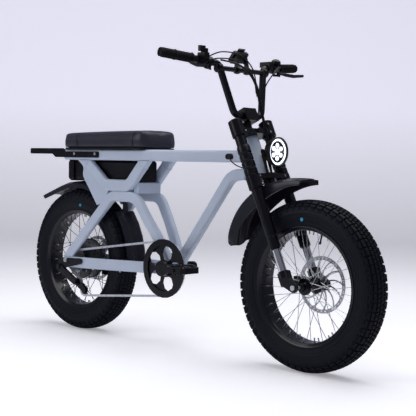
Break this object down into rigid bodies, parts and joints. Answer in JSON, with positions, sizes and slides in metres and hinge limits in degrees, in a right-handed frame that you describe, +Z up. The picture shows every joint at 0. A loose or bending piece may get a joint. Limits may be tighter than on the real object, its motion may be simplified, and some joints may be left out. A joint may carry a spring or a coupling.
{
  "type": "fat tyre electric bicycle",
  "caption": "Electric bicycle with fat tyres, a long bench saddle, a crown suspension fork, a battery under the saddle, a hub motor, chain drive, disc brakes and a rear rack.",
  "frame": {"origin": "on the ground, midway between the wheels, in the centre plane", "axes": "+X forward, +Y to the rider's left, +Z up; steering straight ahead, kickstand down"},
  "size_m": [1.804, 0.731, 1.119],
  "materials": {
    "frame_paint": "satin blue-grey",
    "black_alloy": "satin black",
    "hub_alloy": "black anodised, bright spokes",
    "stanchion_steel": "polished dark",
    "bare_steel": "ground",
    "chain_steel": "oiled",
    "tyre_rubber": "matt",
    "grip_rubber": "matt",
    "saddle_leather": "semi-gloss",
    "guard_plastic": "satin",
    "black_plastic": "matt",
    "lamp_lens": "clear",
    "tail_lens": "translucent red",
    "cable_rubber": "smooth"
  },
  "bodies": {
    "frame": {"front_frame": "frame_paint", "side_frames": "frame_paint", "rear_stays": "frame_paint", "seat_base": "black_alloy", "seat_cushion": "saddle_leather", "battery_case": "black_alloy", "tail_light": "tail_lens", "rear_rack": "black_alloy", "rear_fender": "guard_plastic", "rear_mudguard": "guard_plastic", "derailleur": "black_alloy", "derailleur_cage": "black_alloy", "chain": "chain_steel", "rear_axle": "bare_steel", "rear_caliper": "black_alloy"},
    "steering": {"upper_crown": "black_alloy", "lower_crown": "black_alloy", "fork_tube_right": "black_alloy", "fork_tube_left": "black_alloy", "stem": "black_alloy", "handlebar": "black_alloy", "grip_left": "grip_rubber", "grip_right": "grip_rubber", "display": "black_plastic", "brake_mount_left": "black_alloy", "brake_mount_right": "black_alloy", "shifter_body": "black_plastic", "mode_switch": "black_plastic", "headlight_bracket": "black_alloy", "front_fender": "guard_plastic", "control_cables": "cable_rubber"},
    "fork_lowers": {"stanchion_right": "stanchion_steel", "stanchion_left": "stanchion_steel", "fork_foot_right": "black_alloy", "fork_foot_left": "black_alloy", "front_axle": "bare_steel", "front_caliper": "black_alloy"},
    "front_wheel": {"front_tyre": "tyre_rubber", "front_rim": "black_alloy", "front_hub": "hub_alloy", "front_disc": "bare_steel"},
    "rear_wheel": {"rear_tyre": "tyre_rubber", "rear_rim": "black_alloy", "rear_hub_motor": "hub_alloy", "rear_disc": "bare_steel"},
    "crankset": {"chainring": "black_alloy", "crank_right": "black_alloy", "crank_left": "black_alloy"},
    "cassette": {"cassette": "bare_steel"},
    "jockey_lower": {"jockey_lower": "black_plastic"},
    "jockey_upper": {"jockey_upper": "black_plastic"},
    "pedal_right": {"pedal_right": "black_plastic"},
    "pedal_left": {"pedal_left": "black_plastic"},
    "brake_lever_right": {"brake_lever_right": "black_alloy"},
    "brake_lever_left": {"brake_lever_left": "black_alloy"},
    "throttle": {"throttle_grip": "grip_rubber"},
    "shift_lever": {"shifter_lever": "black_plastic"},
    "headlight": {"headlight_shell": "black_plastic", "headlight_lens": "lamp_lens"},
    "kickstand": {"kickstand": "black_alloy"}
  },
  "joints": [
    {"name": "steering_turn", "type": "hinge", "parent": "frame", "child": "steering", "pos_m": [0.342, 0, 0.75], "axis": [-0.4163, 0, 0.9092], "range_deg": [-45, 45]},
    {"name": "fork_compression", "type": "slide", "parent": "steering", "child": "fork_lowers", "axis": [-0.4163, 0, 0.9092], "range_m": [0, 0.05], "stiffness_N_per_m": 8000, "springref_m": -0.03},
    {"name": "front_wheel_spin", "type": "hinge", "parent": "fork_lowers", "child": "front_wheel", "pos_m": [0.605, 0, 0.297], "axis": [0, 1, 0], "continuous": true},
    {"name": "rear_wheel_spin", "type": "hinge", "parent": "frame", "child": "rear_wheel", "pos_m": [-0.605, 0, 0.297], "axis": [0, 1, 0], "continuous": true},
    {"name": "crank_turn", "type": "hinge", "parent": "frame", "child": "crankset", "pos_m": [-0.046, 0, 0.3065], "axis": [0, 1, 0], "continuous": true, "deforming": ["chain"]},
    {"name": "cassette_turn", "type": "hinge", "parent": "frame", "child": "cassette", "pos_m": [-0.605, -0.068, 0.297], "axis": [0, 1, 0], "continuous": true},
    {"name": "jockey_lower_turn", "type": "hinge", "parent": "frame", "child": "jockey_lower", "pos_m": [-0.52, -0.068, 0.176], "axis": [0, 1, 0], "continuous": true},
    {"name": "jockey_upper_turn", "type": "hinge", "parent": "frame", "child": "jockey_upper", "pos_m": [-0.565, -0.068, 0.205], "axis": [0, 1, 0], "continuous": true},
    {"name": "pedal_right_spin", "type": "hinge", "parent": "crankset", "child": "pedal_right", "pos_m": [0.12348, -0.141, 0.31984], "axis": [0, 1, 0], "continuous": true},
    {"name": "pedal_left_spin", "type": "hinge", "parent": "crankset", "child": "pedal_left", "pos_m": [-0.21548, 0.141, 0.29316], "axis": [0, 1, 0], "continuous": true},
    {"name": "brake_right_squeeze", "type": "hinge", "parent": "steering", "child": "brake_lever_right", "pos_m": [0.281, -0.196, 1.052], "axis": [0.4299, 0, 0.9029], "range_deg": [-14, 0], "stiffness_Nm_per_rad": 1.2, "springref_deg": 5.73},
    {"name": "brake_left_squeeze", "type": "hinge", "parent": "steering", "child": "brake_lever_left", "pos_m": [0.281, 0.196, 1.052], "axis": [0.4299, 0, 0.9029], "range_deg": [0, 14], "stiffness_Nm_per_rad": 1.2, "springref_deg": -5.73},
    {"name": "throttle_twist", "type": "hinge", "parent": "steering", "child": "throttle", "pos_m": [0.23788, -0.266, 1.07735], "axis": [-0.1961, -0.9765, 0.0899], "range_deg": [0, 65], "stiffness_Nm_per_rad": 0.2, "springref_deg": -5.73},
    {"name": "gear_shift", "type": "hinge", "parent": "steering", "child": "shift_lever", "pos_m": [0.267, -0.193, 1.1], "axis": [0, 0, 1], "range_deg": [-30, 30]},
    {"name": "headlight_tilt", "type": "hinge", "parent": "steering", "child": "headlight", "pos_m": [0.387, 0, 0.757], "axis": [0, 1, 0], "range_deg": [-8, 8]},
    {"name": "kickstand_fold", "type": "hinge", "parent": "frame", "child": "kickstand", "pos_m": [-0.565, 0.11, 0.264], "axis": [0, 1, 0], "range_deg": [0, 80]}
  ],
  "couplings": [
    {"joint": "cassette_turn", "follows": "crank_turn", "ratio": 2.8889},
    {"joint": "jockey_lower_turn", "follows": "crank_turn", "ratio": 4.7273},
    {"joint": "jockey_upper_turn", "follows": "crank_turn", "ratio": -4.7273}
  ]
}
